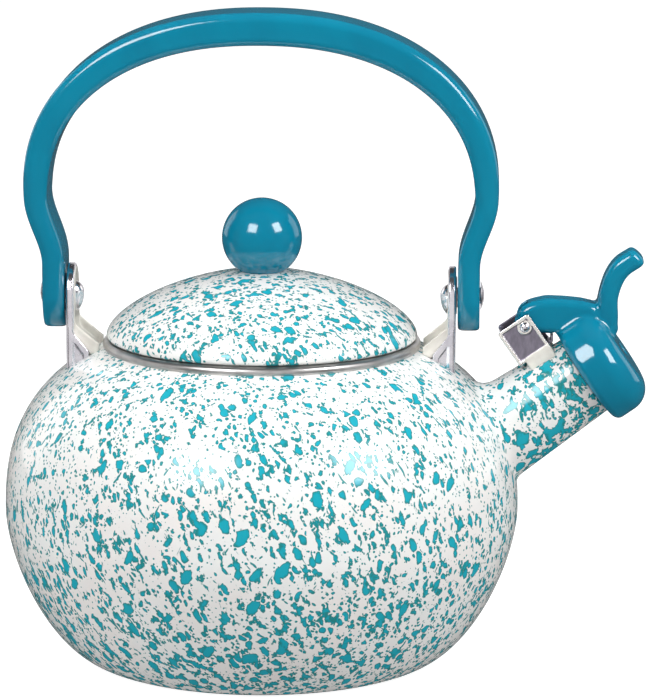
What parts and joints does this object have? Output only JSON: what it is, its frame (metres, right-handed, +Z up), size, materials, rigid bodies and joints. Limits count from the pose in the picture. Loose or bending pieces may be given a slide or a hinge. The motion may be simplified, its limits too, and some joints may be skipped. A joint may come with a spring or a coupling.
{
  "type": "stovetop whistling kettle",
  "caption": "Round enamelled steel stovetop kettle with a folding bail handle, a lift-off lid with a ball knob, and a lever-opened whistle cap on its spout.",
  "frame": {"origin": "centre of the flat base on the body's vertical axis, on the surface the kettle stands on", "axes": "+Z up, +X towards the spout, the handle's pivots lie on a line along X, front and back are alike across the XZ plane"},
  "size_m": [0.2407, 0.1934, 0.2441],
  "materials": {
    "speckled_enamel": "glossy vitreous enamel on steel, warm white with a dense teal splatter",
    "plain_enamel": "glossy plain cream-white enamel on steel",
    "polished_steel": "polished stainless steel with fine turning lines",
    "bright_steel": "bright plated sheet steel",
    "spring_steel": "drawn spring wire",
    "teal_phenolic": "glossy moulded phenolic, teal",
    "brass_insert": "turned brass"
  },
  "bodies": {
    "kettle": {"body_shell": "speckled_enamel", "rim_ring": "polished_steel", "spout": "speckled_enamel", "lug_left": "plain_enamel", "lug_right": "plain_enamel", "bracket_left": "bright_steel", "bracket_right": "bright_steel", "pivot_rivet_left": "bright_steel", "pivot_rivet_right": "bright_steel", "pivot_washer_left": "polished_steel", "pivot_washer_right": "polished_steel", "hinge_saddle": "plain_enamel", "hinge_clip": "bright_steel", "hinge_pin": "bright_steel", "cap_spring": "spring_steel"},
    "handle": {"handle_bail": "teal_phenolic", "handle_bushing_left": "polished_steel", "handle_bushing_right": "polished_steel"},
    "lid": {"lid_shell": "speckled_enamel", "lid_collar": "polished_steel", "lid_knob": "teal_phenolic", "knob_insert": "brass_insert", "knob_screw": "polished_steel", "knob_washer": "polished_steel"},
    "cap": {"whistle_cap": "teal_phenolic", "whistle_cup": "polished_steel", "whistle_disc": "polished_steel"}
  },
  "joints": [
    {"name": "handle_swing", "type": "hinge", "parent": "kettle", "child": "handle", "pos_m": [0, 0, 0.13773], "axis": [1, 0, 0], "range_deg": [-106, 106]},
    {"name": "lid_lift", "type": "slide", "parent": "kettle", "child": "lid", "axis": [0, 0, 1], "range_m": [0, 0.05]},
    {"name": "cap_flip", "type": "hinge", "parent": "kettle", "child": "cap", "pos_m": [0.09845, 0, 0.12719], "axis": [0, -1, 0], "range_deg": [0, 50], "stiffness_Nm_per_rad": 0.03, "springref_deg": -57.3}
  ]
}
